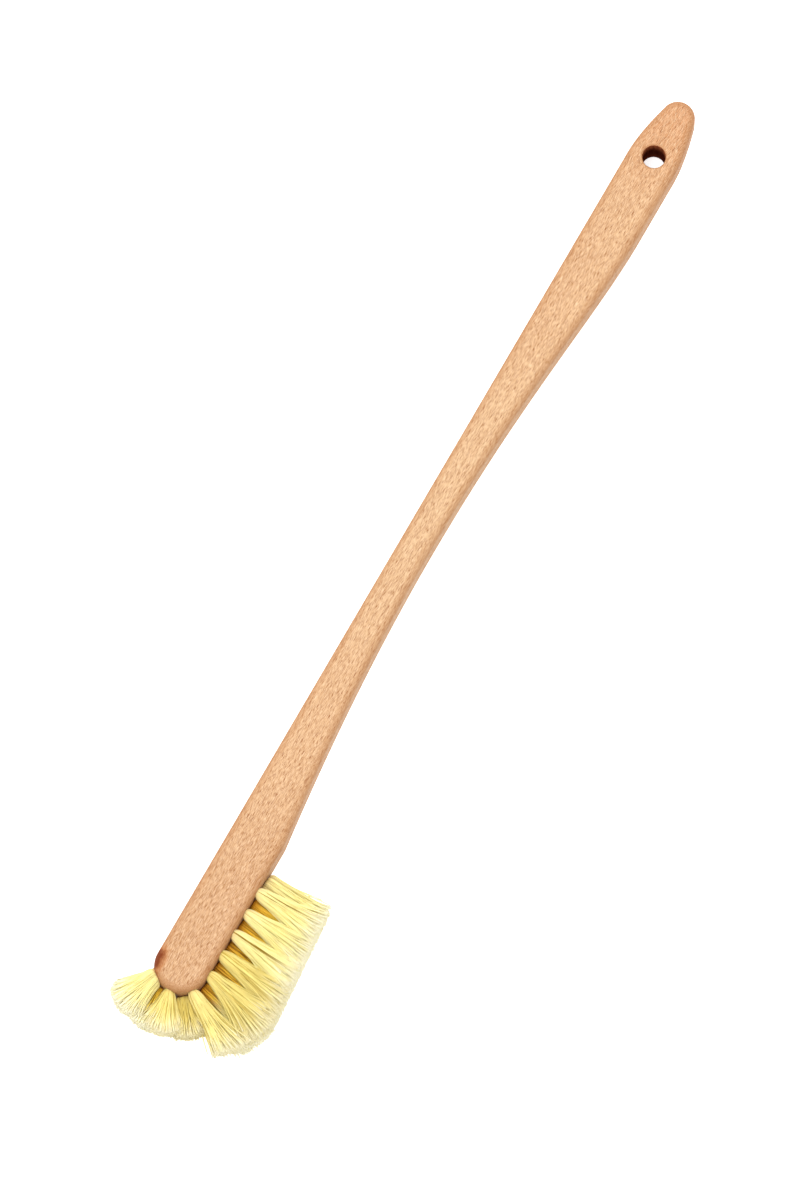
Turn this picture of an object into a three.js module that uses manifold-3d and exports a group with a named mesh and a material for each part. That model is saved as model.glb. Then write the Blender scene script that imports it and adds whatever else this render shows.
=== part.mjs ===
// A long-handled wooden bottle brush. The handle is one flat beech board with a straight back edge, a
// contoured front edge and a hole to hang it by. Tufts of plant fibre stand in drilled holes along the narrow
// edge of the head and round its tip, in two staggered rows. Each tuft is folded over a flat wire anchor,
// which bites into the wood at the bottom of the hole.
//
// Millimetres, +Z up. The board lies on z = 0, +X points to the tip and +Y to the bristle side.
// The origin lies under the centre of the round tip.

import * as THREE from 'three';
import { mergeVertices } from 'three/addons/utils/BufferGeometryUtils.js';
import Module from 'manifold-3d';

// Handle: lengths run from the centre of the round tip towards the hanging end, one after the other.
const THICKNESS = 14;
const HEAD_WIDTH = 19.1;
const HEAD_LENGTH = 55;
const NECK_LENGTH = 118; // shoulder to waist
const WAIST_WIDTH = 11.3;
const SWELL_LENGTH = 132; // waist to grip
const GRIP_WIDTH = 18.4;
const GRIP_LENGTH = 25;
const NOSE_BLEND = 8; // where the side of the grip begins to curve into the tapered nose
const NOSE_TAPER = 15; // degrees to either side
const NOSE_END_RADIUS = 6;
const EDGE_RADIUS = 3;

// Handle: pulls of the front edge's curves, as shares of the stretch that each curve spans.
const SHOULDER_PULL = 0.33;
const SHOULDER_DROP = 0.62; // of the step from head width to waist width
const NECK_WAIST_PULL = 0.34;
const SWELL_WAIST_PULL = 0.49;
const SWELL_GRIP_PULL = 0.23;

// Hole to hang the brush by
const HANG_HOLE_DIAMETER = 8;
const HANG_HOLE_TO_END = 23;
const HANG_HOLE_EASE = 0.8; // radius of its eased rims

// Tuft holes
const HEEL_MARGIN = 14.2; // shoulder to the first tuft, which is in the lower row
const TUFTS_IN_ROW = 8;
const ROW_STAGGER = 5; // along the edge from a lower tuft to the upper one that follows it
const TIP_SWEEP = 138; // degrees round the tip to the last tuft, which is in the upper row
const HOLE_DIAMETER = 3.8;
const HOLE_DEPTH = 5;
const ROW_WEB = 1.8; // wood between the two rows
const HEEL_LEAN = 5; // degrees from square to the edge towards the tip, at the first tuft
const TIP_LEAN = 12; // and where the edge begins to turn round the tip
const FAN_STARTS = 12; // degrees round the tip from which the holes fan out
const FAN_SHARE = 0.83; // of the edge's turn from there on that they follow
const FIT_GAP = 0.25; // round everything that sits in a hole or slot

// Bristles: free lengths, at the first tuft, where the tip begins and round the tip
const HEEL_BRISTLE = 23.5;
const LONG_BRISTLE = 27.6;
const TIP_BRISTLE = 14.8;
const TIP_STARTS = 40; // degrees round the tip from which the tufts are cut short

// Bristles: the corner of the long ones is cut to a circle that begins past the tip's centre.
const CORNER_START = 4;
const CORNER_SETBACK = 4; // of the circle's centre from the tip's centre
const CORNER_OFFSET = 6; // and towards the bristles

// Bristles: strands
const STRANDS = 24; // in each tuft
const STRAND_ROOT_RADIUS = 0.2;
const STRAND_END_RADIUS = 0.32;
const LONG_FLARE = 10; // degrees to either side, where the next tuft leaves room
const TIP_FLARE = 24;
const ROOM_USED = 0.75; // of the angle between neighbouring tufts
const ROOT_PROUD = 0.9; // bound root above the wood
const ROOT_SEAT = 0.4; // strand inside the bound root

// Wire anchors
const ANCHOR_WIDTH = 1.6; // along the hole
const ANCHOR_THICKNESS = 0.4;
const ANCHOR_BITE = 0.5; // into the wood at each end
const FOLD = 0.8; // fibre that turns under the anchor

// Facets
const CURVE_STEPS = 14;
const EDGE_STEPS = 4;
const HANG_HOLE_SIDES = 32;
const HANG_HOLE_EASE_STEPS = 3;
const HOLE_SIDES = 14;
const STRAND_SIDES = 3;
const CUT_PAST = 1; // how far a cutter stands out of the face it enters by

// Sizes that follow from those above
const { degToRad } = THREE.MathUtils;
const TIP_RADIUS = HEAD_WIDTH / 2;
const SIDE_RUN = HEAD_LENGTH - HEEL_MARGIN;
const ROW_RUN = SIDE_RUN + degToRad(TIP_SWEEP) * TIP_RADIUS - ROW_STAGGER;
const ROW_PITCH = ROW_RUN / (TUFTS_IN_ROW - 1); // along the edge from tuft to tuft in a row
const ROW_SPACING = HOLE_DIAMETER + ROW_WEB;
const ROOT_RADIUS = HOLE_DIAMETER / 2 - FIT_GAP;
const ANCHOR_LENGTH = HOLE_DIAMETER + 2 * ANCHOR_BITE;
const STRAND_SPREAD = ROOT_RADIUS - STRAND_ROOT_RADIUS;
const SPREAD_ALONG = ROW_PITCH / 2 - FIT_GAP - STRAND_END_RADIUS; // at the ends, up to the next tuft
const SPREAD_UP = ROW_SPACING / 2 - FIT_GAP - STRAND_END_RADIUS; // at the ends, up to the other row
const LONG_REACH = TIP_RADIUS + LONG_BRISTLE;
const TIP_REACH = TIP_RADIUS + TIP_BRISTLE;
const TRIM_SLOPE = (LONG_BRISTLE - HEEL_BRISTLE) / SIDE_RUN;
const TIP_CENTRE = new THREE.Vector2(0, 0);
const CORNER_CENTRE = new THREE.Vector2(-CORNER_SETBACK, CORNER_OFFSET);
const CORNER_POINT = new THREE.Vector2(CORNER_START, LONG_REACH + TRIM_SLOPE * CORNER_START);
const CORNER_REACH = CORNER_CENTRE.distanceTo(CORNER_POINT);
const GOLDEN_ANGLE = Math.PI * (3 - Math.sqrt(5));

const WOOD = { color: 0xecbe8f, roughness: 0.6, metalness: 0 };
const FIBRE = { color: 0xefdd8c, roughness: 0.75, metalness: 0 };
const WIRE = { color: 0xb8bcc0, roughness: 0.4, metalness: 1 };

const wasm = await Module();
wasm.setup();

// A closed geometry as a solid for joins and cuts.
function toSolid(geometry) {
	const bare = geometry.clone();
	bare.deleteAttribute('normal');
	bare.deleteAttribute('uv');
	const merged = mergeVertices(bare);
	const vertProperties = new Float32Array(merged.attributes.position.array);
	const triVerts = new Uint32Array(merged.index.array);
	return new wasm.Manifold(new wasm.Mesh({ numProp: 3, vertProperties, triVerts }));
}

function toGeometry(solid) {
	const mesh = solid.getMesh();
	const geometry = new THREE.BufferGeometry();
	geometry.setAttribute('position', new THREE.BufferAttribute(mesh.vertProperties, 3));
	geometry.setIndex(new THREE.BufferAttribute(mesh.triVerts, 1));
	geometry.computeVertexNormals();
	return geometry;
}

// Outline of the board, from above: round tip, straight back edge, tapered nose, and the curved front edge.
function handleOutline() {
	const back = -TIP_RADIUS;
	const front = TIP_RADIUS;
	const waistFront = back + WAIST_WIDTH;
	const gripFront = back + GRIP_WIDTH;
	const middle = back + GRIP_WIDTH / 2;

	const shoulder = -HEAD_LENGTH;
	const waist = shoulder - NECK_LENGTH;
	const grip = waist - SWELL_LENGTH;
	const nose = grip - GRIP_LENGTH;
	const taper = degToRad(NOSE_TAPER);
	const endHalf = NOSE_END_RADIUS * Math.cos(taper);
	const noseCorner = nose - NOSE_BLEND;
	const taperEnd = noseCorner - (GRIP_WIDTH / 2 - endHalf) / Math.tan(taper);
	const endCentre = taperEnd + NOSE_END_RADIUS * Math.sin(taper);

	const swellGrip = grip + SWELL_GRIP_PULL * SWELL_LENGTH;
	const swellWaist = waist - SWELL_WAIST_PULL * SWELL_LENGTH;
	const neckWaist = waist + NECK_WAIST_PULL * NECK_LENGTH;
	const neckShoulder = shoulder - SHOULDER_PULL * NECK_LENGTH;
	const shoulderFront = front - SHOULDER_DROP * (HEAD_WIDTH - WAIST_WIDTH);

	const outline = new THREE.Shape();
	outline.absarc(0, 0, TIP_RADIUS, Math.PI / 2, -Math.PI / 2, true);
	outline.lineTo(nose, back);
	outline.quadraticCurveTo(noseCorner, back, taperEnd, middle - endHalf);
	outline.absarc(endCentre, middle, NOSE_END_RADIUS, -Math.PI / 2 - taper, Math.PI / 2 + taper, true);
	outline.quadraticCurveTo(noseCorner, gripFront, nose, gripFront);
	outline.lineTo(grip, gripFront);
	outline.bezierCurveTo(swellGrip, gripFront, swellWaist, waistFront, waist, waistFront);
	outline.bezierCurveTo(neckWaist, waistFront, neckShoulder, shoulderFront, shoulder, front);

	const hangHole = new THREE.Vector2(endCentre - NOSE_END_RADIUS + HANG_HOLE_TO_END, middle);
	return { outline, hangHole };
}

// Cutter for the hanging hole: a straight bore whose two rims are eased.
function hangHoleCutter(centre) {
	const radius = HANG_HOLE_DIAMETER / 2;
	const wide = radius + HANG_HOLE_EASE;
	const profile = [new THREE.Vector2(0, -CUT_PAST), new THREE.Vector2(wide, -CUT_PAST)];
	for (let step = 0; step <= HANG_HOLE_EASE_STEPS; step++) {
		const turn = (step / HANG_HOLE_EASE_STEPS) * (Math.PI / 2);
		const height = HANG_HOLE_EASE * (1 - Math.cos(turn));
		profile.push(new THREE.Vector2(wide - HANG_HOLE_EASE * Math.sin(turn), height));
	}
	const upperHalf = profile.map((point) => new THREE.Vector2(point.x, THICKNESS - point.y)).reverse();
	const cutter = new THREE.LatheGeometry([...profile, ...upperHalf], HANG_HOLE_SIDES);
	cutter.rotateX(Math.PI / 2);
	cutter.translate(centre.x, centre.y, 0);
	return cutter;
}

// Where a tuft leaves the edge of the head, and the angle of its hole from +Y towards the tip. Even tufts are
// in the lower row, odd ones in the upper row.
// Along the side the holes lean more and more, and round the tip they fan out.
function stationAt(index) {
	const pair = Math.floor(index / 2);
	const upper = index - 2 * pair;
	const run = pair * ROW_PITCH + upper * ROW_STAGGER;
	const z = THICKNESS / 2 + (upper - 0.5) * ROW_SPACING;
	const turn = (run - SIDE_RUN) / TIP_RADIUS;
	if (turn <= 0) {
		const lean = HEEL_LEAN + ((TIP_LEAN - HEEL_LEAN) * run) / SIDE_RUN;
		return { index, x: run - SIDE_RUN, y: TIP_RADIUS, z, angle: degToRad(lean), short: false };
	}
	const x = TIP_RADIUS * Math.sin(turn);
	const y = TIP_RADIUS * Math.cos(turn);
	const angle = degToRad(TIP_LEAN) + FAN_SHARE * Math.max(0, turn - degToRad(FAN_STARTS));
	return { index, x, y, z, angle, short: turn > degToRad(TIP_STARTS) };
}

function placeOf(station) {
	return new THREE.Matrix4().makeRotationZ(-station.angle).setPosition(station.x, station.y, station.z);
}

// In a tuft's own frame +Y runs out of the hole from its mouth, +X along the edge and +Z up.
function holeCutter() {
	const cutter = new THREE.CylinderGeometry(
		HOLE_DIAMETER / 2, HOLE_DIAMETER / 2, HOLE_DEPTH + CUT_PAST, HOLE_SIDES,
	);
	cutter.translate(0, (CUT_PAST - HOLE_DEPTH) / 2, 0);
	return cutter;
}

// The anchor's own shape, or with a gap the slot that holds it.
function anchorBox(gap) {
	const box = new THREE.BoxGeometry(
		ANCHOR_THICKNESS + 2 * gap, ANCHOR_WIDTH + 2 * gap, ANCHOR_LENGTH + 2 * gap,
	);
	box.translate(0, -HOLE_DEPTH + 2 * FIT_GAP + FOLD + ANCHOR_WIDTH / 2, 0);
	return box;
}

function handleGeometry(stations) {
	const { outline, hangHole } = handleOutline();
	const board = new THREE.ExtrudeGeometry(outline, {
		depth: THICKNESS - 2 * EDGE_RADIUS,
		bevelThickness: EDGE_RADIUS,
		bevelSize: EDGE_RADIUS,
		bevelOffset: -EDGE_RADIUS,
		bevelSegments: EDGE_STEPS,
		curveSegments: CURVE_STEPS,
	});
	board.translate(0, 0, EDGE_RADIUS);
	const cutters = [toSolid(hangHoleCutter(hangHole))];
	for (const station of stations) {
		cutters.push(toSolid(holeCutter().applyMatrix4(placeOf(station))));
		cutters.push(toSolid(anchorBox(FIT_GAP).applyMatrix4(placeOf(station))));
	}
	return toGeometry(toSolid(board).subtract(wasm.Manifold.union(cutters)));
}

// How many headings a point takes to leave a circle.
function stepsToCircle(from, heading, centre, radius) {
	const offset = from.clone().sub(centre);
	const along = offset.dot(heading);
	const square = heading.lengthSq();
	return (Math.sqrt(along * along - square * (offset.lengthSq() - radius * radius)) - along) / square;
}

// How many headings a strand takes to the trim, seen from above. The tip is cut to a circle. The long bristles
// are cut to a straight line, which falls towards the heel, and to the circle at the corner.
function stepsToTrim(root, heading, short) {
	if (short) {
		return stepsToCircle(root, heading, TIP_CENTRE, TIP_REACH);
	}
	const toLine = (LONG_REACH + TRIM_SLOPE * root.x - root.y) / (heading.y - TRIM_SLOPE * heading.x);
	const onCorner = root.x + toLine * heading.x > CORNER_START;
	return onCorner ? stepsToCircle(root, heading, CORNER_CENTRE, CORNER_REACH) : toLine;
}

// How far a tuft spreads to either side, kept clear of the tufts beside it in its row.
function flareOf(station) {
	const length = station.short ? TIP_BRISTLE : LONG_BRISTLE;
	const toHeel = station.angle - stationAt(station.index - 2).angle;
	const toTip = stationAt(station.index + 2).angle - station.angle;
	const open = (ROOM_USED * Math.min(toHeel, toTip)) / 2;
	const room = Math.atan2(SPREAD_ALONG - STRAND_SPREAD, length) + open;
	return Math.min(degToRad(station.short ? TIP_FLARE : LONG_FLARE), room);
}

// One strand, a slim tapered prism. Strands start in a spiral over the root and spread in proportion to
// their place in it, so that none crosses another.
function strandGeometry(strandIndex, station) {
	const share = Math.sqrt((strandIndex + 0.5) / STRANDS);
	const across = share * Math.cos(strandIndex * GOLDEN_ANGLE);
	const up = share * Math.sin(strandIndex * GOLDEN_ANGLE);
	const root = new THREE.Vector3(across * STRAND_SPREAD, ROOT_PROUD, up * STRAND_SPREAD);
	const rise = (SPREAD_UP - STRAND_SPREAD) / (station.short ? TIP_BRISTLE : LONG_BRISTLE);
	const heading = new THREE.Vector3(across * Math.tan(flareOf(station)), 1, up * rise);

	const rootPlan = root.clone().applyMatrix4(placeOf(station));
	const headingPlan = heading.clone().applyAxisAngle(new THREE.Vector3(0, 0, 1), -station.angle);
	const steps = stepsToTrim(
		new THREE.Vector2(rootPlan.x, rootPlan.y), new THREE.Vector2(headingPlan.x, headingPlan.y), station.short,
	);
	const length = steps * heading.length() + ROOT_SEAT;
	const strand = new THREE.CylinderGeometry(STRAND_END_RADIUS, STRAND_ROOT_RADIUS, length, STRAND_SIDES);
	strand.translate(0, length / 2 - ROOT_SEAT, 0);
	const turn = new THREE.Quaternion().setFromUnitVectors(new THREE.Vector3(0, 1, 0), heading.normalize());
	strand.applyQuaternion(turn);
	strand.translate(root.x, root.y, root.z);
	return strand;
}

// A tuft: the bound root in its hole, slotted where the fibres fold round the anchor, and the free strands.
function tuftGeometry(station) {
	const rootLength = HOLE_DEPTH - FIT_GAP + ROOT_PROUD;
	const root = new THREE.CylinderGeometry(ROOT_RADIUS, ROOT_RADIUS, rootLength, HOLE_SIDES);
	root.translate(0, ROOT_PROUD - rootLength / 2, 0);
	const pieces = [toSolid(root).subtract(toSolid(anchorBox(FIT_GAP)))];
	for (let strandIndex = 0; strandIndex < STRANDS; strandIndex++) {
		pieces.push(toSolid(strandGeometry(strandIndex, station)));
	}
	return toGeometry(wasm.Manifold.union(pieces));
}

function namedMesh(name, geometry, look) {
	const mesh = new THREE.Mesh(geometry, new THREE.MeshStandardMaterial(look));
	mesh.name = name;
	return mesh;
}

const stations = Array.from({ length: 2 * TUFTS_IN_ROW }, (_, index) => stationAt(index));

const brush = new THREE.Group();
brush.add(namedMesh('handle', handleGeometry(stations), WOOD));
for (const station of stations) {
	const number = String(station.index + 1).padStart(2, '0');
	const tuft = new THREE.Group();
	tuft.position.set(station.x, station.y, station.z);
	tuft.rotation.z = -station.angle;
	tuft.add(namedMesh(`bristle_tuft_${number}`, tuftGeometry(station), FIBRE));
	tuft.add(namedMesh(`wire_anchor_${number}`, anchorBox(0), WIRE));
	brush.add(tuft);
}

export default brush;
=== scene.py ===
"""The looks of a wooden bottle brush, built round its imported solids.

Lengths are in millimetres until they go into Blender, which is in metres.
+X runs along the handle to the bristled tip, +Y out of the edge that carries the bristles, +Z up.
"""

import math

import bmesh
import bpy
import numpy as np
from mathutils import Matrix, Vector
from mathutils.geometry import tessellate_polygon


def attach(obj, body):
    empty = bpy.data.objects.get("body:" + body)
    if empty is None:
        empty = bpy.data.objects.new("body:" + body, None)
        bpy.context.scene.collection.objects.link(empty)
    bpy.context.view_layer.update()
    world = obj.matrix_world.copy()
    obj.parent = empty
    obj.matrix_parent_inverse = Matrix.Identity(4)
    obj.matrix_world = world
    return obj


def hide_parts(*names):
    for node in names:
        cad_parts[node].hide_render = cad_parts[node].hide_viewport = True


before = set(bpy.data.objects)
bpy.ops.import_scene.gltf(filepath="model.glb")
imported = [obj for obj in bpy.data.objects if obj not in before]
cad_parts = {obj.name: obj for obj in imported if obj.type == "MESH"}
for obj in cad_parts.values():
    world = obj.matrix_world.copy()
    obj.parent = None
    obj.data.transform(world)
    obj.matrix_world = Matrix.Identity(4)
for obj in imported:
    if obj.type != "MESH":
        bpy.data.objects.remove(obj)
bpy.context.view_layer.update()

MM = 0.001  # metres

# Board
THICKNESS = 14.0
HEAD_WIDTH = 19.1
HEAD_LENGTH = 55.0  # from the centre of the round tip to the shoulder
NECK_LENGTH = 118.0  # from the shoulder to the waist
WAIST_WIDTH = 11.3
SWELL_LENGTH = 132.0  # from the waist to the grip
GRIP_WIDTH = 18.4
GRIP_LENGTH = 25.0  # as far as its width stays the same
NOSE_BLEND = 8.0  # from there to where the tapered sides would meet the grip's
NOSE_TAPER = 15.0  # degrees to either side
NOSE_END_RADIUS = 6.0
EDGE_RADIUS = 3.0
SHOULDER_PULL = 0.33  # the pulls bend the long curves, as shares of their lengths
SHOULDER_DROP = 0.62  # share of the way from the head's width to the waist's
NECK_WAIST_PULL = 0.34
SWELL_WAIST_PULL = 0.49
SWELL_GRIP_PULL = 0.23
HANG_HOLE_RADIUS = 4.0
HANG_HOLE_TO_END = 23.0
HANG_HOLE_EASE = 0.8  # radius of its rims
OUTLINE_STEP = 0.8
EDGE_STEPS = 9
EASE_STEPS = 5
BORE_SIDES = 72
FLAT_MARGIN = 0.4  # a ring on the flat inside each rounded edge, which keeps the flat's shading flat
SHARP_EDGE = 40.0  # degrees, above which an edge is shaded as a sharp one

# Rows of tufts
TUFTS_IN_ROW = 8
HEEL_MARGIN = 14.2  # from the shoulder to the first tuft
ROW_STAGGER = 5.0  # how much nearer the tip the upper row is
ROW_WEB = 1.8  # wood between the holes of the two rows
TIP_SWEEP = 138.0  # degrees round the tip to the last tuft
TIP_STARTS = 40.0  # degrees round the tip, past which the tufts are short
HOLE_RADIUS = 1.9
HOLE_DEPTH = 5.0
HOLE_SIDES = 28
HOLE_PAST = 1.0  # how far the drill stands out of the wood
HEEL_LEAN = 5.0  # degrees from +Y towards the tip
TIP_LEAN = 12.0
FAN_STARTS = 12.0  # degrees round the tip, past which the tufts fan out
FAN_SHARE = 0.83  # of the turn round the tip, by which they lean further
HEEL_BRISTLE = 24.4  # fibre outside the wood
LONG_BRISTLE = 27.4
TIP_BRISTLE = 15.3
CORNER_START = 4.0  # where the straight trim ends, along X
CORNER_CENTRE = np.array((-4.0, 6.0))

TIP_RADIUS = HEAD_WIDTH / 2
SIDE_RUN = HEAD_LENGTH - HEEL_MARGIN
ROW_RUN = SIDE_RUN + math.radians(TIP_SWEEP) * TIP_RADIUS - ROW_STAGGER
ROW_PITCH = ROW_RUN / (TUFTS_IN_ROW - 1)
ROW_SPACING = 2 * HOLE_RADIUS + ROW_WEB
LONG_REACH = TIP_RADIUS + LONG_BRISTLE
TIP_REACH = TIP_RADIUS + TIP_BRISTLE
TRIM_SLOPE = (LONG_BRISTLE - HEEL_BRISTLE) / SIDE_RUN

# Form of a tuft
LONG_FIBRES = 620  # in a tuft
TIP_FIBRES = 1200
ROOT_RADIUS = 1.6
ROOT_DEPTH = 2.0  # fibre inside the hole, down to the wire anchor
UPPER_SWELL = 0.9  # how far the bundle swells just outside the hole
UPPER_SWELL_RUN = 1.3
LOWER_SWELL = 2.8
LOWER_SWELL_RUN = 0.15
LAST_SWELL = 3.4  # of the tuft at the end of the rows, towards the others
LAST_OUTER_SWELL = 0.6
LAST_SWELL_RUN = 0.5
LONG_FLARE = 8.0  # degrees to either side, with no room beside the tuft
TIP_FLARE = 14.0
HEEL_FLARE = -1.5  # of the first tuft, away from the others
CORNER_FLARE = 0.5  # of a long tuft towards a short one
LAST_FLARE = 11.0  # of the tuft at the end of the rows, away from the others
WIDER_FLARES = {10: 12.0}  # degrees more towards the tip, by tuft
ROOM_SHARE = 0.36  # of the angle to the next tuft, taken up by flaring further
FLARE_CURVE = 1.6  # above one, a fibre flares more towards its end
END_HALF_HEIGHT = 3.9  # of a tuft at its ends
UPPER_RISE = 0.03  # slope of the upper row
LOWER_TIP_RISE = 0.25  # slope of the lower row round the tip
LOBE_TRIM = 0.22  # how much shorter the outermost fibres of a tip tuft are
LAST_TRIM = 1.08  # the tuft at the end of the rows is longer than its neighbours

# Scatter of the fibres. A pair is across the row and up, or the least and the most
FIRST_SEED = 400
GOLDEN_ANGLE = math.pi * (3 - math.sqrt(5))
ROOT_SCATTER = 0.03  # share of the root's radius
LOCKS = 15  # clumps of fibres in a tuft
LOCK_PULL = (0.075, 0.3)
LOCK_SCATTER = (0.04, 0.02)
LOCK_TRIM = 0.008
FIBRE_SCATTER = (0.045, 0.027)
FIBRE_TRIM = 0.007
STRAY_SHARE = 0.04
STRAY_SCATTER = (0.09, 0.045)
SHORT_FIBRE = 0.2  # how much shorter than the trim the shortest fibres are
SHORT_RARITY = 6  # the higher, the fewer fibres are short
WAVE_SIZE = (0.04, 0.25)
WAVE_BEATS = (0.6, 1.8)
CURL = 0.5
CURL_CURVE = 3  # the higher, the nearer its end a fibre curls
UP_BEND = 0.5  # waves and curls upwards, as a share of those across
LOWEST_FIBRE = 0.3  # height above the floor

# A fibre's tube, and its cell in its tuft's map
FIBRE_RADIUS = 0.13
FIBRE_END_RADIUS = 0.2
FIBRE_THICKNESS = (0.75, 1.25)  # the least and the most, as shares of these radii
FIBRE_SIDES = 4
FIBRE_RINGS = 10  # outside the hole
RING_CROWDING = 2.0  # rings crowd towards the root, where a fibre bends most
CELL_MARGIN = 0.1
ROOT_CAP_IN_CELL = (0.01, 0.05)
SIDES_IN_CELL = (0.09, 0.86)
END_CAP_IN_CELL = (0.90, 0.97)

# Tints of the tufts: above nought, painted umber shade at the root and fewer painted shadow lines; below
# nought, a deeper yellow and more painted shadow lines
UPPER_TINT = 0.0
# the lower row, shaded by the upper one, gets painted umber shade at its roots
LOWER_TINT = 1.0
TUFT_TINTS = {
    1: 0.1, 4: 0.1, 6: 0.1, 8: -0.55, 10: -0.55, 11: 0.7,
    12: -0.35, 13: -0.8, 14: -0.5, 15: 1.25, 16: 0.2,
}
TIP_FADE = 0.65  # below one, the short fibres round the tip turn pale sooner

# Stage
FLOOR_HALF = 3000.0
FLOOR_DROP = 0.2  # below the brush
FLOOR_GLOW = 0.75
WORLD_STRENGTH = 1.2
KEY_PLACE = (-200.0, -350.0, 1450.0)
KEY_AIM = (-160.0, 0.0, 0.0)
KEY_SIZE = 1000.0
KEY_POWER = 12.5  # watts

# Camera: a long lens at the photograph's viewing angle
IMAGE_HEIGHT_MM = 413.0
LENS = 500.0
SENSOR = 36.0
VIEW_TURN = 60.6  # degrees from +Y towards +X
VIEW_RISE = 74.0  # degrees above the table
VIEW_TARGET = (-149.5, 1.45, 14.0)
FAR_CLIP = 100.0  # metres


def walk(curve, length):
    """Points along a curve given by a share from 0 to 1, without its last point."""
    steps = max(2, math.ceil(length / OUTLINE_STEP))
    return [curve(step / steps) for step in range(steps)]


def line(start, end):
    """A straight line."""
    start, end = np.array(start), np.array(end)
    return walk(lambda t: start + (end - start) * t, np.linalg.norm(end - start))


def arc(centre, radius, first, last):
    """An arc between two angles in degrees."""
    first, last = math.radians(first), math.radians(last)

    def point(t):
        angle = first + (last - first) * t
        return np.array(centre) + radius * np.array((math.cos(angle), math.sin(angle)))

    return walk(point, radius * abs(last - first))


def quadratic(start, control, end):
    """A curve pulled by one control point."""
    start, control, end = (np.array(p) for p in (start, control, end))

    def point(t):
        return (1 - t) ** 2 * start + 2 * t * (1 - t) * control + t ** 2 * end

    return walk(point, np.linalg.norm(end - start))


def cubic(start, first, second, end):
    """A curve pulled by two control points."""
    start, first, second, end = (np.array(p) for p in (start, first, second, end))

    def point(t):
        near = (1 - t) ** 3 * start + 3 * t * (1 - t) ** 2 * first
        return near + 3 * t ** 2 * (1 - t) * second + t ** 3 * end

    return walk(point, np.linalg.norm(end - start))


def board_outline():
    """The board from above, clockwise from the bristle side of the tip, and its hanging hole's centre."""
    back = -TIP_RADIUS
    front = TIP_RADIUS
    waist_front = back + WAIST_WIDTH
    grip_front = back + GRIP_WIDTH
    middle = back + GRIP_WIDTH / 2
    shoulder = -HEAD_LENGTH
    waist = shoulder - NECK_LENGTH
    grip = waist - SWELL_LENGTH
    nose = grip - GRIP_LENGTH
    nose_corner = nose - NOSE_BLEND
    taper = math.radians(NOSE_TAPER)
    end_half = NOSE_END_RADIUS * math.cos(taper)
    taper_end = nose_corner - (GRIP_WIDTH / 2 - end_half) / math.tan(taper)
    end_centre = taper_end + NOSE_END_RADIUS * math.sin(taper)
    hole = (end_centre - NOSE_END_RADIUS + HANG_HOLE_TO_END, middle)
    points = arc((0, 0), TIP_RADIUS, 90, -90)
    points += line((0, back), (nose, back))
    points += quadratic((nose, back), (nose_corner, back), (taper_end, middle - end_half))
    points += arc((end_centre, middle), NOSE_END_RADIUS, -90 - NOSE_TAPER, -270 + NOSE_TAPER)
    points += quadratic((taper_end, middle + end_half), (nose_corner, grip_front), (nose, grip_front))
    points += line((nose, grip_front), (grip, grip_front))
    points += cubic(
        (grip, grip_front),
        (grip + SWELL_LENGTH * SWELL_GRIP_PULL, grip_front),
        (waist - SWELL_LENGTH * SWELL_WAIST_PULL, waist_front),
        (waist, waist_front),
    )
    points += cubic(
        (waist, waist_front),
        (waist + NECK_LENGTH * NECK_WAIST_PULL, waist_front),
        (shoulder - NECK_LENGTH * SHOULDER_PULL, front - (front - waist_front) * SHOULDER_DROP),
        (shoulder, front),
    )
    points += line((shoulder, front), (0, front))
    return np.array(points), np.array(hole)


def inset(outline, distance):
    """A clockwise outline moved inwards."""
    ahead = np.roll(outline, -1, axis=0) - np.roll(outline, 1, axis=0)
    ahead /= np.linalg.norm(ahead, axis=1)[:, None]
    inward = np.stack((ahead[:, 1], -ahead[:, 0]), axis=1)
    return outline + inward * distance


def edge_profile(radius, steps):
    """(inset, height) from the upper flat round the edge, down the side and round to the lower flat."""
    turns = [math.pi / 2 * step / steps for step in range(steps + 1)]
    upper = [(radius * (1 - math.sin(t)), THICKNESS - radius * (1 - math.cos(t))) for t in turns]
    upper.insert(0, (radius + FLAT_MARGIN, THICKNESS))
    lower = [(distance, THICKNESS - height) for distance, height in reversed(upper)]
    return upper + lower


def with_height(points, height):
    """Points of a plan at one height."""
    return np.column_stack((points, np.full(len(points), height)))


def bridge(first, second, count):
    """Quads between two rings of vertices, each a run of numbers from its first."""
    return [
        (first + i, first + (i + 1) % count, second + (i + 1) % count, second + i)
        for i in range(count)
    ]


def board_rings():
    """Rings of points down the board's edge, and rings down the hanging hole."""
    outline, hole = board_outline()
    turns = np.linspace(0, 2 * math.pi, BORE_SIDES, endpoint=False)
    circle = np.column_stack((np.cos(turns), np.sin(turns)))
    edge = []
    for distance, height in edge_profile(EDGE_RADIUS, EDGE_STEPS):
        edge.append(with_height(inset(outline, distance), height))
    bore = []
    for distance, height in edge_profile(HANG_HOLE_EASE, EASE_STEPS):
        bore.append(with_height(hole + circle * (HANG_HOLE_RADIUS + distance), height))
    return edge, bore


def flat_triangles(rings, starts, outer, inner):
    """Triangles of a flat that lies between two rings."""
    loops = [[Vector(point) for point in rings[ring]] for ring in (outer, inner)]
    numbers = list(range(starts[outer], starts[outer + 1]))
    numbers += list(range(starts[inner], starts[inner + 1]))
    return [tuple(numbers[i] for i in triangle) for triangle in tessellate_polygon(loops)]


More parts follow.
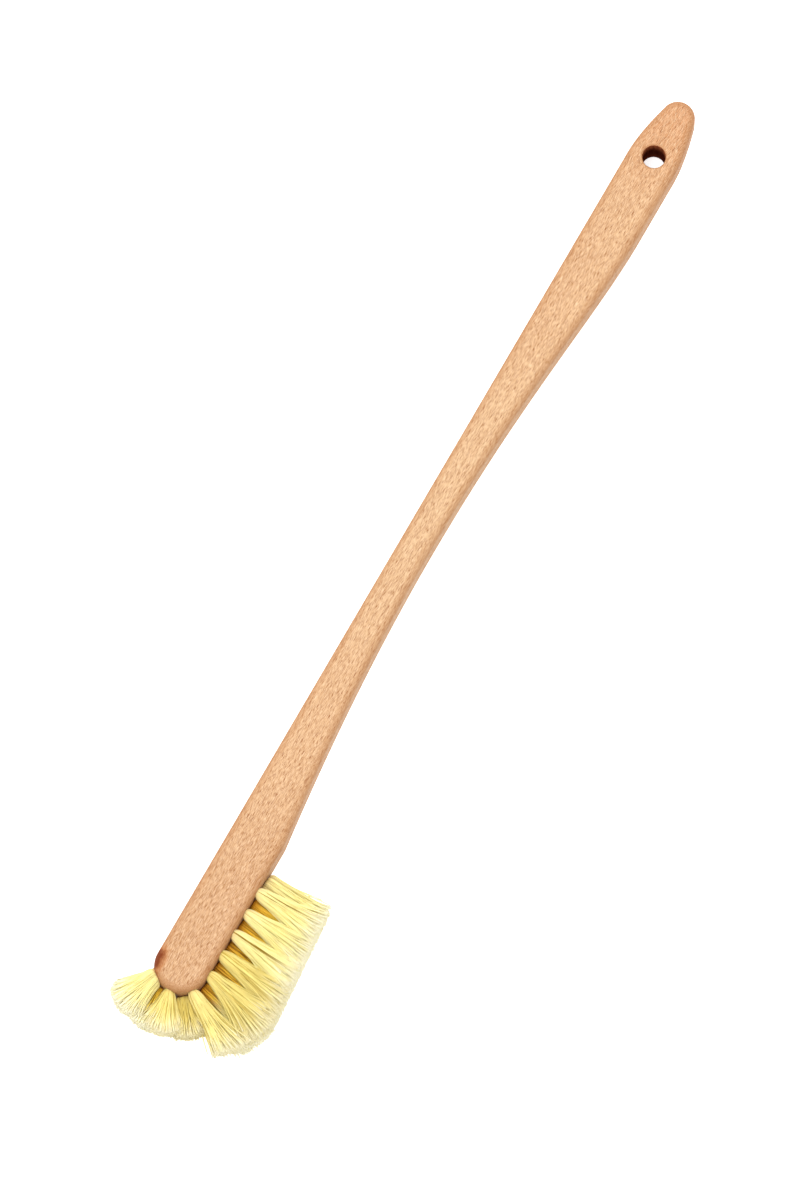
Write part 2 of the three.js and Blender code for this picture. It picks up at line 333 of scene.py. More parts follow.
def board_mesh():
    """The board before it is drilled for the tufts: vertices, faces and the numbers of its faces that get
    painted shade.
    """
    edge, bore = board_rings()
    rings = edge + bore
    last_of_edge = len(edge) - 1
    first_shaded = len(edge) + EASE_STEPS - 1  # the hole's upper rim keeps the wood's colour, and the rest of it gets painted shade
    starts = np.cumsum([0] + [len(ring) for ring in rings]).tolist()
    faces = []
    shaded_faces = set()
    for number in range(len(rings) - 1):
        if number == last_of_edge:
            continue
        if number >= first_shaded:
            shaded_faces.update(range(len(faces), len(faces) + BORE_SIDES))
        faces += bridge(starts[number], starts[number + 1], len(rings[number]))
    faces += flat_triangles(rings, starts, 0, len(edge))
    faces += flat_triangles(rings, starts, last_of_edge, len(rings) - 1)
    return np.concatenate(rings), faces, shaded_faces


def station_at(index):
    """Where a tuft's hole opens on the edge, and how far the tuft leans from +Y towards the tip."""
    pair, upper = divmod(index, 2)
    run = pair * ROW_PITCH + upper * ROW_STAGGER
    height = THICKNESS / 2 + (upper - 0.5) * ROW_SPACING
    turn = (run - SIDE_RUN) / TIP_RADIUS
    if turn <= 0:
        place = (run - SIDE_RUN, TIP_RADIUS, height)
        angle = math.radians(HEEL_LEAN + (TIP_LEAN - HEEL_LEAN) * run / SIDE_RUN)
    else:
        place = (TIP_RADIUS * math.sin(turn), TIP_RADIUS * math.cos(turn), height)
        fan = max(0, turn - math.radians(FAN_STARTS))
        angle = math.radians(TIP_LEAN) + FAN_SHARE * fan
    short = turn > math.radians(TIP_STARTS)
    return {"place": np.array(place), "angle": angle, "short": short, "upper": bool(upper)}


def tuft_axes(station):
    """The tuft's own directions: across the row, out of the wood and up."""
    sine, cosine = math.sin(station["angle"]), math.cos(station["angle"])
    across = np.array((cosine, -sine, 0.0))
    outward = np.array((sine, cosine, 0.0))
    return across, outward, np.array((0.0, 0.0, 1.0))


def steps_to_circle(start, heading, centre, radius):
    """How many headings from each start to a circle round it, in plan."""
    away = start - centre
    a = np.sum(heading * heading, axis=1)
    b = np.sum(away * heading, axis=1)
    c = np.sum(away * away, axis=1) - radius ** 2
    return (-b + np.sqrt(np.maximum(b * b - a * c, 0))) / a


def steps_to_trim(start, heading, short):
    """How many headings from each root to the surface that the bristles are trimmed to, in plan."""
    if short:
        return steps_to_circle(start, heading, np.zeros(2), TIP_REACH)
    gap = LONG_REACH + TRIM_SLOPE * start[:, 0] - start[:, 1]
    to_line = gap / (heading[:, 1] - TRIM_SLOPE * heading[:, 0])
    corner = np.array((CORNER_START, LONG_REACH + TRIM_SLOPE * CORNER_START))
    radius = np.linalg.norm(corner - CORNER_CENTRE)
    to_corner = steps_to_circle(start, heading, CORNER_CENTRE, radius)
    past = start[:, 0] + heading[:, 0] * to_line > CORNER_START
    return np.where(past, to_corner, to_line)


def flares(stations, number):
    """How far a tuft flares to the heel and to the tip, as slopes."""
    station = stations[number]
    before = stations[max(number - 1, 0)]
    after = stations[min(number + 1, len(stations) - 1)]
    least = math.radians(TIP_FLARE if station["short"] else LONG_FLARE)
    to_heel = least + ROOM_SHARE * (station["angle"] - before["angle"])
    to_tip = least + ROOM_SHARE * (after["angle"] - station["angle"])
    to_tip += math.radians(WIDER_FLARES.get(number + 1, 0.0))
    if before is station:
        to_heel = math.radians(HEEL_FLARE)
    if after["short"] and not station["short"]:
        to_tip = math.radians(CORNER_FLARE)
    if after is station:
        to_tip = math.radians(LAST_FLARE)
    return math.tan(to_heel), math.tan(to_tip)


def root_swell(station, last):
    """How far a tuft's bundle swells outside its hole, and over what run."""
    if last:
        return LAST_SWELL, LAST_SWELL_RUN
    if station["upper"]:
        return UPPER_SWELL, UPPER_SWELL_RUN
    return LOWER_SWELL, LOWER_SWELL_RUN


def row_rise(station):
    """How steeply a tuft rises from its hole."""
    if station["upper"]:
        return UPPER_RISE
    return LOWER_TIP_RISE if station["short"] else 0.0


def packed_disc(count, rng):
    """Places of the fibres in a tuft's root, as shares of its radius: across the row and up."""
    order = np.arange(count)
    share = np.sqrt((order + 0.5) / count)
    spin = order * GOLDEN_ANGLE
    disc = np.column_stack((share * np.cos(spin), share * np.sin(spin)))
    return disc + rng.normal(0, ROOT_SCATTER, disc.shape)


def gathered(disc, spread, rng):
    """Draws the fibres together in locks. Gives their slopes, and their lengths as shares of the trim."""
    count = len(disc)
    leaders = rng.permutation(count)[:LOCKS]
    gaps = np.linalg.norm(disc[:, None, :] - disc[leaders][None, :, :], axis=2)
    lock = np.argmin(gaps, axis=1)
    lock_spread = spread[leaders] + rng.normal(0, LOCK_SCATTER, (LOCKS, 2))
    lock_trim = rng.normal(0, LOCK_TRIM, LOCKS)
    pull = rng.uniform(*LOCK_PULL, count)[:, None]
    spread = spread + (lock_spread[lock] - spread) * pull
    spread += rng.normal(0, FIBRE_SCATTER, spread.shape)
    stray = rng.random(count) < STRAY_SHARE
    spread[stray] += rng.normal(0, STRAY_SCATTER, (int(stray.sum()), 2))
    trim = 1 + lock_trim[lock] + rng.normal(0, FIBRE_TRIM, count)
    trim -= SHORT_FIBRE * rng.random(count) ** SHORT_RARITY
    return spread, trim


def fibre_slopes(stations, number, disc, swell, rng):
    """Slopes of a tuft's fibres across the row and up, and their lengths as shares of the trim."""
    station = stations[number]
    to_heel, to_tip = flares(stations, number)
    flare = np.where(disc[:, 0] > 0, to_tip, to_heel)
    length = TIP_BRISTLE if station["short"] else LONG_BRISTLE
    rise = (END_HALF_HEIGHT - ROOT_RADIUS - swell) / length
    spread = np.column_stack((disc[:, 0] * flare, disc[:, 1] * rise + row_rise(station)))
    spread, trim = gathered(disc, spread, rng)
    if station["short"]:
        trim -= LOBE_TRIM * np.minimum(1, np.abs(spread[:, 0] / flare)) ** 2
    if number == len(stations) - 1:
        trim *= LAST_TRIM
    return spread, trim


def ring_shares():
    """How far along a fibre its rings are, outside the hole."""
    return np.linspace(0, 1, FIBRE_RINGS) ** RING_CROWDING


def bends(share, count, rng):
    """How far each fibre waves and curls to one side at its rings."""
    size = rng.uniform(*WAVE_SIZE, count)[:, None]
    beat = rng.uniform(*WAVE_BEATS, count)[:, None]
    phase = rng.uniform(0, 2 * math.pi, count)[:, None]
    wave = size * share * np.sin(2 * math.pi * beat * share + phase)
    curl = rng.normal(0, CURL, count)[:, None] * share ** CURL_CURVE
    return wave + curl


def fibre_paths(stations, number, rng):
    """The middle line of each fibre in a tuft, as (fibre, ring, xyz)."""
    station = stations[number]
    short = station["short"]
    last = number == len(stations) - 1
    across, outward, up = tuft_axes(station)
    count = TIP_FIBRES if short else LONG_FIBRES
    disc = packed_disc(count, rng)
    swell, swell_run = root_swell(station, last)
    slopes, trim = fibre_slopes(stations, number, disc, swell, rng)

    sideways = disc[:, :1] * across + disc[:, 1:] * up
    root = station["place"] + ROOT_RADIUS * sideways
    swollen = swell * sideways
    if last:
        swollen = np.where(disc[:, :1] > 0, LAST_OUTER_SWELL * sideways, swollen)
    lean = slopes[:, :1] * across + slopes[:, 1:] * up
    run = trim * steps_to_trim((root + swollen)[:, :2], (outward + lean)[:, :2], short)

    share = ring_shares()
    out = run[:, None] * share
    swelling = 1 - np.exp(-out / swell_run)
    flaring = run[:, None] * share ** FLARE_CURVE
    path = root[:, None] + out[:, :, None] * outward + swelling[:, :, None] * swollen[:, None]
    path = path + flaring[:, :, None] * lean[:, None]
    for axis, amount in ((across, 1.0), (up, UP_BEND)):
        path = path + amount * bends(share, count, rng)[:, :, None] * axis
    path[:, :, 2] = np.maximum(path[:, :, 2], LOWEST_FIBRE)
    seat = root - ROOT_DEPTH * outward
    return np.concatenate((seat[:, None], path), axis=1)


def fibre_faces(count, rings):
    """Faces of all fibres of a tuft: for each its sides from the root up, its root cap and its end cap."""
    per_fibre = rings * FIBRE_SIDES
    faces = []
    for ring in range(rings - 1):
        faces += bridge((ring + 1) * FIBRE_SIDES, ring * FIBRE_SIDES, FIBRE_SIDES)
    faces.append(tuple(range(FIBRE_SIDES)))
    faces.append(tuple(range(per_fibre - 1, per_fibre - FIBRE_SIDES - 1, -1)))
    every = []
    for first in range(0, count * per_fibre, per_fibre):
        every += [tuple(first + corner for corner in face) for face in faces]
    return every


def fibre_map(count, rings):
    """Places of all face corners of a tuft in a map that gives each fibre a cell of its own."""
    left, right = CELL_MARGIN, 1 - CELL_MARGIN
    rows = np.linspace(*SIDES_IN_CELL, rings)
    columns = np.linspace(left, right, FIBRE_SIDES + 1)
    cell = []
    for low, high in zip(rows, rows[1:]):
        for near, far in zip(columns, columns[1:]):
            cell += [(near, high), (far, high), (far, low), (near, low)]
    for low, high in (ROOT_CAP_IN_CELL, END_CAP_IN_CELL):
        cell += [(left, low), (right, low), (right, high), (left, high)]
    cells_in_row = math.ceil(math.sqrt(count))
    fibre = np.arange(count)
    corner = np.column_stack((fibre % cells_in_row, fibre // cells_in_row))
    return (corner[:, None, :] + np.array(cell)) / cells_in_row


def tuft_mesh(stations, number, rng):
    """Vertices, faces and map of a tuft of fibres, and its vertices' tones and places along the fibres."""
    across, _, up = tuft_axes(stations[number])
    path = fibre_paths(stations, number, rng)
    count, rings = path.shape[:2]
    along = np.concatenate(([0.0], ring_shares()))
    thickness = rng.uniform(*FIBRE_THICKNESS, count)
    radius = FIBRE_RADIUS + (FIBRE_END_RADIUS - FIBRE_RADIUS) * along
    radius = radius[None, :] * thickness[:, None]
    turns = np.linspace(0, 2 * math.pi, FIBRE_SIDES, endpoint=False)
    rim = np.cos(turns)[:, None] * across + np.sin(turns)[:, None] * up
    vertices = path[:, :, None, :] + radius[:, :, None, None] * rim
    tone = np.broadcast_to(rng.random(count)[:, None, None], vertices.shape[:3]).ravel()
    along = np.broadcast_to(along[None, :, None], vertices.shape[:3]).ravel()
    return vertices.reshape(-1, 3), fibre_faces(count, rings), fibre_map(count, rings), tone, along


def new_piece(name, vertices, faces):
    """An object in the scene, made from vertices in millimetres."""
    mesh = bpy.data.meshes.new(name)
    mesh.from_pydata((np.asarray(vertices) * MM).tolist(), [], faces)
    mesh.update()
    piece = bpy.data.objects.new(name, mesh)
    bpy.context.scene.collection.objects.link(piece)
    return piece


def outward_normals(mesh):
    """Turns every face outwards."""
    work = bmesh.new()
    work.from_mesh(mesh)
    bmesh.ops.recalc_face_normals(work, faces=work.faces)
    work.to_mesh(mesh)
    work.free()


class Shader:
    """A material's nodes, with short names for the few kinds used here."""

    def __init__(self, name):
        self.material = bpy.data.materials.new(name)
        self.material.use_nodes = True
        self.tree = self.material.node_tree
        self.tree.nodes.clear()
        self.surface = self.node("ShaderNodeBsdfPrincipled")
        output = self.node("ShaderNodeOutputMaterial")
        self.tree.links.new(self.surface.outputs[0], output.inputs[0])
        self.place = self.node("ShaderNodeTexCoord").outputs["Object"]

    def node(self, kind, **settings):
        """A new node with some of its properties set."""
        made = self.tree.nodes.new(kind)
        for name, value in settings.items():
            setattr(made, name, value)
        return made

    def put(self, socket, value):
        """Links a socket to another one, or sets it to a constant."""
        if isinstance(value, bpy.types.NodeSocket):
            self.tree.links.new(value, socket)
        else:
            socket.default_value = value

    def set(self, name, value):
        """Gives the surface one of its values."""
        self.put(self.surface.inputs[name], value)

    def noise(self, repeats, detail, shift=(0.0, 0.0, 0.0)):
        """Noise with so many repeats to the metre along each axis."""
        mapping = self.node("ShaderNodeMapping")
        self.put(mapping.inputs["Vector"], self.place)
        self.put(mapping.inputs["Location"], shift)
        self.put(mapping.inputs["Scale"], repeats)
        noise = self.node("ShaderNodeTexNoise")
        self.put(noise.inputs["Vector"], mapping.outputs["Vector"])
        self.put(noise.inputs["Scale"], 1.0)
        self.put(noise.inputs["Detail"], detail)
        return noise.outputs["Fac"]

    def attribute(self, name):
        """A value that the mesh carries at its vertices."""
        return self.node("ShaderNodeAttribute", attribute_name=name).outputs["Fac"]

    def ranged(self, value, low, high, to_low=0.0, to_high=1.0):
        """Goes smoothly from one result to another as a value goes from low to high."""
        made = self.node("ShaderNodeMapRange", interpolation_type="SMOOTHSTEP")
        for number, item in enumerate((value, low, high, to_low, to_high)):
            self.put(made.inputs[number], item)
        return made.outputs[0]

    def maths(self, operation, first, second=0.0):
        """A calculation with one or two values."""
        made = self.node("ShaderNodeMath", operation=operation)
        self.put(made.inputs[0], first)
        self.put(made.inputs[1], second)
        return made.outputs[0]

    def mix(self, share, first, second):
        """The first colour, with a share of the second one."""
        made = self.node("ShaderNodeMix", data_type="RGBA")
        self.put(made.inputs[0], share)
        self.put(made.inputs[6], first)
        self.put(made.inputs[7], second)
        return made.outputs[2]

    def ramp(self, share, *stops):
        """Colours in a row, each at its own place from 0 to 1."""
        made = self.node("ShaderNodeValToRGB")
        self.put(made.inputs[0], share)
        elements = made.color_ramp.elements
        while len(elements) < len(stops):
            elements.new(0.5)
        for element, (place, colour) in zip(elements, stops):
            element.position = place
            element.color = colour
        return made.outputs[0]

    def near(self, centre, size):
        """How far from a place on the object, in sizes given in millimetres."""
        offset = self.node("ShaderNodeVectorMath", operation="SUBTRACT")
        self.put(offset.inputs[0], self.place)
        self.put(offset.inputs[1], tuple(c * MM for c in centre))
        share = self.node("ShaderNodeVectorMath", operation="DIVIDE")
        self.put(share.inputs[0], offset.outputs[0])
        self.put(share.inputs[1], tuple(s * MM for s in size))
        length = self.node("ShaderNodeVectorMath", operation="LENGTH")
        self.put(length.inputs[0], share.outputs[0])
        return length.outputs["Value"]

    def bump(self, height, strength, depth):
        """Raises the surface by a height, to a depth in millimetres."""
        made = self.node("ShaderNodeBump")
        self.put(made.inputs["Height"], height)
        self.put(made.inputs["Strength"], strength)
        self.put(made.inputs["Distance"], depth * MM)
        self.set("Normal", made.outputs[0])


def rgb(red, green, blue):
    """An opaque colour."""
    return (red, green, blue, 1.0)


# Colours and patterns of the wood. Repeats are to the metre, along X, Y and Z
BEECH_PALE = rgb(0.588, 0.374, 0.208)
BEECH_WARM = rgb(0.538, 0.324, 0.176)
BEECH_STREAK = rgb(0.438, 0.228, 0.101)
# painted shade on the rounded edges and the sides
BEECH_EDGE_SHADE = rgb(0.368, 0.149, 0.048)
HEAD_SHADE = rgb(0.475, 0.267, 0.135)
NOSE_SHADE = rgb(0.509, 0.235, 0.109)
WAIST_SHADE = rgb(0.605, 0.42, 0.243)
DARK_FLECK = rgb(0.27, 0.11, 0.042)
PALE_FLECK = rgb(0.715, 0.495, 0.31)
LONG_FLECK = rgb(0.22, 0.083, 0.033)
MARK_RIM = rgb(0.40, 0.13, 0.03)
MARK_CORE = rgb(0.16, 0.03, 0.006)
# painted shade in the drilled holes, darkest deep in the hanging hole
BORE_SHADE_DARK = rgb(0.13, 0.03, 0.011)
BORE_SHADE_WARM = rgb(0.36, 0.105, 0.04)
BORE_SHADE_DEEP = rgb(0.07, 0.008, 0.004)
BAND_REPEATS = (6, 60, 60)
STREAK_REPEATS = (50, 2200, 2200)
FLECK_REPEATS = (520, 8800, 8800)
LONG_FLECK_REPEATS = (240, 2000, 2000)
MARK_REPEATS = (400, 400, 400)
BORE_SHADE_REPEATS = (700, 700, 160)
MARK_CENTRE = (2.6, -9.4, 12.0)
MARK_SIZE = (5.2, 3.8, 6.0)
BORE_SHADE_SIZE = (60.0, 60.0, 9.0)

# Patches where the wood has another shade: centre, size, plain core and strength
SHADE_PATCHES = (
    (HEAD_SHADE, (0.0, 0.0, 7.0), (75.0, 60.0, 60.0), 0.5, 0.6),
    (NOSE_SHADE, (-356.0, 0.0, 7.0), (50.0, 30.0, 30.0), 0.15, 0.9),
    (WAIST_SHADE, (-185.0, 0.0, 7.0), (85.0, 60.0, 60.0), 0.3, 0.5),
)

# Colours and patterns of the fibres
FIBRE_ROOT = rgb(0.86, 0.70, 0.34)
FIBRE_LOW = rgb(0.885, 0.775, 0.345)
FIBRE_MIDDLE = rgb(0.91, 0.81, 0.345)
FIBRE_HIGH = rgb(0.93, 0.84, 0.42)
FIBRE_END = rgb(0.97, 0.915, 0.67)
# painted shade of the gaps between fibres, put on single fibres
FIBRE_GAP_SHADE = rgb(0.29, 0.165, 0.008)
FIBRE_GREEN = rgb(0.84, 0.78, 0.30)
FIBRE_MOTTLE = rgb(0.80, 0.62, 0.22)
FIBRE_DEEP = rgb(0.70, 0.54, 0.11)
# Umber: painted shade at the roots of the lower row and between the tufts, darkest at the wood
UMBER_ROOT_SHADE = rgb(0.60, 0.23, 0.012)
UMBER_LOW = rgb(0.95, 0.60, 0.055)
UMBER_MIDDLE = rgb(0.98, 0.72, 0.09)
UMBER_GAP_SHADE = rgb(0.36, 0.15, 0.01)
MOTTLE_REPEATS = (500, 500, 500)
FIBRE_GRAIN_REPEATS = (4000, 4000, 4000)

# Colours and patterns of the wire and the stage
WIRE_DARK = rgb(0.46, 0.48, 0.50)
WIRE_LIGHT = rgb(0.60, 0.61, 0.63)
BRUSHED_REPEATS = (3000, 3000, 250)
FLOOR_DARK = rgb(0.93, 0.93, 0.93)
FLOOR_LIGHT = rgb(0.95, 0.95, 0.95)
FLOOR_REPEATS = (60, 60, 60)
WHITE = rgb(1.0, 1.0, 1.0)


def beech_ground(s):
    """Broad pale and warm bands, with patches of other shades."""
    colour = s.ramp(s.noise(BAND_REPEATS, 3.0), (0.32, BEECH_PALE), (0.68, BEECH_WARM))
    for shade, centre, size, core, strength in SHADE_PATCHES:
        share = s.ranged(s.near(centre, size), core, 1.0, strength, 0.0)
        colour = s.mix(share, colour, shade)
    return colour


def beech_flecks(s, fleck, colour):
    """Short dark flecks, short pale ones and a few longer dark ones."""
    pale = s.ranged(s.noise(FLECK_REPEATS, 0.0, (17, 5, 23)), 0.56, 0.62)
    long = s.ranged(s.noise(LONG_FLECK_REPEATS, 0.0, (31, 13, 2)), 0.72, 0.8)
    colour = s.mix(s.maths("MULTIPLY", fleck, 0.95), colour, DARK_FLECK)
    colour = s.mix(s.maths("MULTIPLY", pale, 0.7), colour, PALE_FLECK)
    return s.mix(s.maths("MULTIPLY", long, 0.5), colour, LONG_FLECK)


def shaded_beech_edges(s, colour):
    """Painted shade: browner rounded edges, and slightly browner sides."""
    facing = s.node("ShaderNodeSeparateXYZ")
    s.put(facing.inputs[0], s.node("ShaderNodeNewGeometry").outputs["Normal"])
    tilt = s.maths("ABSOLUTE", facing.outputs["Z"])
    rounded = s.maths("MULTIPLY", s.ranged(tilt, 0.99, 0.5), s.ranged(tilt, 0.02, 0.25))
    side = s.ranged(tilt, 0.999, 0.95, 0.0, 0.25)
    return s.mix(s.maths("ADD", s.maths("MULTIPLY", rounded, 0.24), side), colour, BEECH_EDGE_SHADE)


def beech_mark(s, colour):
    """The dark mark on the back edge, where the round tip starts."""
    ragged = s.maths("ADD", s.near(MARK_CENTRE, MARK_SIZE), s.noise(MARK_REPEATS, 3.0))
    colour = s.mix(s.ranged(ragged, 1.3, 2.0, 0.68, 0.0), colour, MARK_RIM)
    return s.mix(s.ranged(ragged, 1.05, 1.65, 0.95, 0.0), colour, MARK_CORE)


def beech():
    """Oiled beech, with its grain along X."""
    s = Shader("beech")
    streak = s.noise(STREAK_REPEATS, 3.0)
    fleck = s.ranged(s.noise(FLECK_REPEATS, 0.0, (3, 7, 11)), 0.56, 0.60)
    colour = s.mix(s.ranged(streak, 0.35, 0.7, 0.0, 0.45), beech_ground(s), BEECH_STREAK)
    colour = beech_flecks(s, fleck, colour)
    colour = shaded_beech_edges(s, colour)
    s.set("Base Color", beech_mark(s, colour))
    s.set("Roughness", s.ranged(streak, 0.3, 0.7, 0.52, 0.68))
    s.set("Specular IOR Level", 0.1)
    s.bump(s.maths("SUBTRACT", s.maths("MULTIPLY", streak, 0.4), fleck), 0.25, 0.05)
    return s.material


def shaded_bore():
    """Painted shade in the drilled holes: dark brown wood, darker further down the hanging hole."""
    s = Shader("beech_bore")
    hole = board_outline()[1].tolist()
    bore_mottle = s.noise(BORE_SHADE_REPEATS, 3.0)
    colour = s.ramp(bore_mottle, (0.3, BORE_SHADE_DARK), (0.75, BORE_SHADE_WARM))
    depth = s.near((*hole, THICKNESS), BORE_SHADE_SIZE)
    s.set("Base Color", s.mix(s.ranged(depth, 0.2, 0.7, 0.0, 0.9), colour, BORE_SHADE_DEEP))
    s.set("Roughness", s.ranged(bore_mottle, 0.3, 0.7, 0.65, 0.85))
    s.set("Specular IOR Level", 0.0)
    s.bump(bore_mottle, 0.4, 0.2)
    return s.material


def fibre_ground(s, along, tone, tint, mottle):
    """Yellow fibres with cream ends and greener ones among them, and single dark ones that are painted
    shade in the gaps between fibres.
    """
    colour = s.ramp(
        along,
        (0.0, FIBRE_ROOT),
        (0.15, FIBRE_LOW),
        (0.6, FIBRE_MIDDLE),
        (0.8, FIBRE_HIGH),
        (1.0, FIBRE_END),
    )
    # tufts tinted below nought get more of the dark fibres of painted shade, those above nought fewer
    shaded = s.maths("SUBTRACT", tone, s.maths("MULTIPLY", tint, 0.2))
    fading = s.ranged(along, 0.5, 0.95, 0.95, 0.1)
    colour = s.mix(s.maths("MULTIPLY", s.ranged(shaded, 0.945, 0.975), fading), colour, FIBRE_GAP_SHADE)
    colour = s.mix(s.ranged(tone, 0.25, 0.0, 0.0, 0.5), colour, FIBRE_GREEN)
    return s.mix(s.ranged(mottle, 0.5, 0.8, 0.0, 0.3), colour, FIBRE_MOTTLE)


def fibre_tints(s, along, tone, tint, colour):
    """Painted umber shade at the roots of tufts tinted above nought, darkest at the wood, and a deeper
    yellow in those below.
    """
    umber = s.ramp(along, (0.0, UMBER_ROOT_SHADE), (0.16, UMBER_LOW), (0.5, UMBER_MIDDLE))
    umber = s.mix(s.ranged(tone, 0.68, 0.74, 0.0, 0.85), umber, UMBER_GAP_SHADE)
    root_share = s.maths("SUBTRACT", s.maths("MULTIPLY", tint, 2.0), s.maths("MULTIPLY", along, 2.8))
    colour = s.mix(s.ranged(root_share, 0.0, 1.0), colour, umber)
    deep_share = s.ranged(along, 0.6, 1.0, -0.95, -0.4)
    return s.mix(s.maths("MULTIPLY", tint, deep_share), colour, FIBRE_DEEP)


def plant_fibre():
    """Plant fibre, coloured by the values that a tuft's mesh carries."""
    s = Shader("plant_fibre")
    along = s.attribute("along")
    tone = s.attribute("tone")
    tint = s.attribute("tint")
    mottle = s.noise(MOTTLE_REPEATS, 3.0)
    colour = fibre_ground(s, along, tone, tint, mottle)
    s.set("Base Color", fibre_tints(s, along, tone, tint, colour))
    s.set("Roughness", s.ranged(mottle, 0.3, 0.7, 0.42, 0.62))
    s.set("Specular IOR Level", 0.1)
    s.bump(s.noise(FIBRE_GRAIN_REPEATS, 2.0), 0.3, 0.03)
    return s.material


def flat_wire():
    """Brushed metal."""
    s = Shader("flat_wire")
    brushed = s.noise(BRUSHED_REPEATS, 3.0)
    s.set("Base Color", s.ramp(brushed, (0.3, WIRE_DARK), (0.7, WIRE_LIGHT)))
    s.set("Metallic", 1.0)
    s.set("Roughness", s.ranged(brushed, 0.3, 0.7, 0.28, 0.45))
    s.bump(brushed, 0.2, 0.02)
    return s.material


def pale_floor():
    """A nearly white floor that glows a little, which keeps the shade on it faint."""
    s = Shader("pale_floor")
    s.set("Base Color", s.ramp(s.noise(FLOOR_REPEATS, 2.0), (0.0, FLOOR_DARK), (1.0, FLOOR_LIGHT)))
    s.set("Roughness", 0.9)
    s.set("Specular IOR Level", 0.1)
    s.set("Emission Color", WHITE)
    s.set("Emission Strength", FLOOR_GLOW)
    return s.material


def drill_bits(stations):
    """Vertices and faces of closed cylinders that stand in all the tufts' holes."""
    turns = np.linspace(0, 2 * math.pi, HOLE_SIDES, endpoint=False)
    vertices, faces = [], []
    for station in stations:
        across, outward, up = tuft_axes(station)
        rim = HOLE_RADIUS * (np.cos(turns)[:, None] * across + np.sin(turns)[:, None] * up)
        first = len(vertices)
        second = first + HOLE_SIDES
        for depth in (-HOLE_DEPTH, HOLE_PAST):
            vertices += list(station["place"] + rim + depth * outward)
        faces += bridge(first, second, HOLE_SIDES)
        faces.append(tuple(range(second - 1, first - 1, -1)))
        faces.append(tuple(range(second, second + HOLE_SIDES)))
    return vertices, faces


def drill(handle, stations, bore_material):
    """Cuts the tufts' holes out of the board."""
    cutter = new_piece("drill", *drill_bits(stations))
    outward_normals(cutter.data)
    cutter.data.materials.append(bore_material)
    cut = handle.modifiers.new("holes", "BOOLEAN")
    cut.operation = "DIFFERENCE"
    cut.solver = "EXACT"
    cut.material_mode = "TRANSFER"
    cut.object = cutter
    bpy.context.view_layer.update()
    drilled = handle.evaluated_get(bpy.context.evaluated_depsgraph_get())
    shaped = bpy.data.meshes.new_from_object(drilled)
    handle.modifiers.clear()
    handle.data = shaped
    bpy.data.objects.remove(cutter)


def make_handle(stations):
    """The drilled board, in place of its solid."""
    vertices, faces, shaded_faces = board_mesh()
    handle = new_piece("beech_handle", vertices, faces)
    wood, bore = beech(), shaded_bore()
    handle.data.materials.append(wood)
    handle.data.materials.append(bore)
    for face in handle.data.polygons:
        face.material_index = int(face.index in shaded_faces)
    outward_normals(handle.data)
    drill(handle, stations, bore)
    handle.data.shade_smooth()
    handle.data.set_sharp_from_angle(angle=math.radians(SHARP_EDGE))
    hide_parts("handle")
    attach(handle, "root")


def make_tufts(stations):
    """The tufts of single fibres, in place of their solids."""
    fibre = plant_fibre()
    for number, station in enumerate(stations, start=1):
        rng = np.random.default_rng(FIRST_SEED + number)
        vertices, faces, places, tone, along = tuft_mesh(stations, number - 1, rng)
        tuft = new_piece(f"fibre_tuft_{number:02d}", vertices, faces)
        if station["short"]:
            along = along ** TIP_FADE
        plain_tint = UPPER_TINT if station["upper"] else LOWER_TINT
        tint = np.full(len(vertices), TUFT_TINTS.get(number, plain_tint))
        for name, values in (("tone", tone), ("along", along), ("tint", tint)):
            layer = tuft.data.attributes.new(name, "FLOAT", "POINT")
            layer.data.foreach_set("value", values.astype(np.float32))
        layer = tuft.data.uv_layers.new(name="OFBake")  # a map that gives each fibre a cell of its own
        layer.data.foreach_set("uv", places.astype(np.float32).ravel())
        tuft.data.shade_smooth()
        tuft.data.materials.append(fibre)
        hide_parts(f"bristle_tuft_{number:02d}")
        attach(tuft, "root")


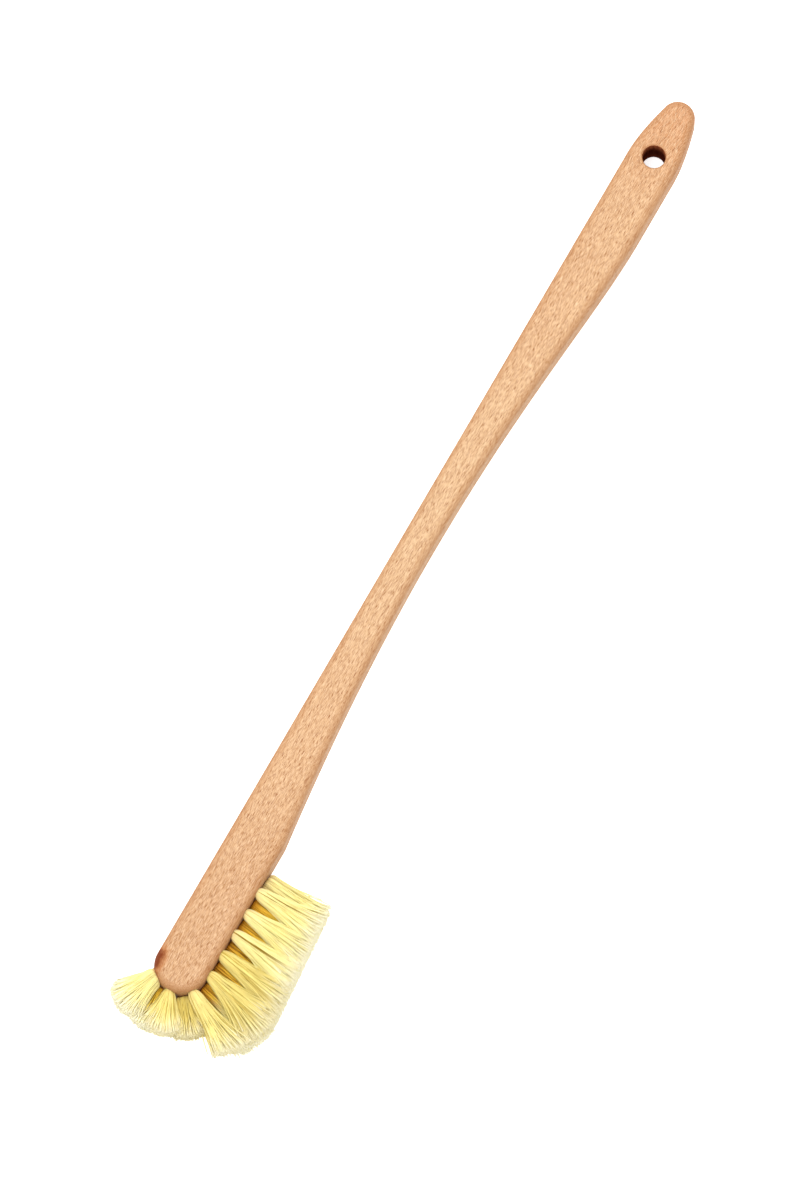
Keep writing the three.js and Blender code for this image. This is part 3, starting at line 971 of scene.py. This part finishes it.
def finish_anchors():
    """Metal on the wire anchors, which stay as they are in the frame."""
    wire = flat_wire()
    for name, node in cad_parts.items():
        if name.startswith("wire_anchor"):
            node.data.materials.clear()
            node.data.materials.append(wire)


def make_floor():
    """A wide plain floor just under the brush."""
    signs = ((-1, -1), (1, -1), (1, 1), (-1, 1))
    corners = [(x * FLOOR_HALF, y * FLOOR_HALF, -FLOOR_DROP) for x, y in signs]
    floor = new_piece("floor", corners, [(0, 1, 2, 3)])
    floor.data.materials.append(pale_floor())
    floor.visible_diffuse = False  # the floor throws no light up at the brush


def make_light():
    """Soft white light from all round, and a large round light overhead."""
    world = bpy.data.worlds.new("studio")
    world.use_nodes = True
    background = world.node_tree.nodes["Background"]
    background.inputs["Color"].default_value = WHITE
    background.inputs["Strength"].default_value = WORLD_STRENGTH
    bpy.context.scene.world = world
    bpy.context.scene.view_settings.view_transform = "Standard"
    data = bpy.data.lights.new("key", "AREA")
    data.shape = "DISK"
    data.size = KEY_SIZE * MM
    data.energy = KEY_POWER
    light = bpy.data.objects.new("key", data)
    light.location = Vector(KEY_PLACE) * MM
    light.rotation_euler = (Vector(KEY_AIM) - Vector(KEY_PLACE)).to_track_quat("-Z", "Y").to_euler()
    light.visible_camera = False
    bpy.context.scene.collection.objects.link(light)


def make_camera():
    """The camera, as far off as its lens needs to show the image's height."""
    turn, rise = math.radians(VIEW_TURN), math.radians(VIEW_RISE)
    back = Vector((math.sin(turn) * math.cos(rise), math.cos(turn) * math.cos(rise), math.sin(rise)))
    data = bpy.data.cameras.new("camera")
    data.lens = LENS
    data.sensor_width = SENSOR
    data.clip_end = FAR_CLIP
    camera = bpy.data.objects.new("camera", data)
    camera.location = (Vector(VIEW_TARGET) + back * (IMAGE_HEIGHT_MM * LENS / SENSOR)) * MM
    camera.rotation_euler = back.to_track_quat("Z", "Y").to_euler()
    bpy.context.scene.collection.objects.link(camera)
    bpy.context.scene.camera = camera


stations = [station_at(index) for index in range(2 * TUFTS_IN_ROW)]
make_handle(stations)
make_tufts(stations)
finish_anchors()
make_floor()
make_light()
make_camera()
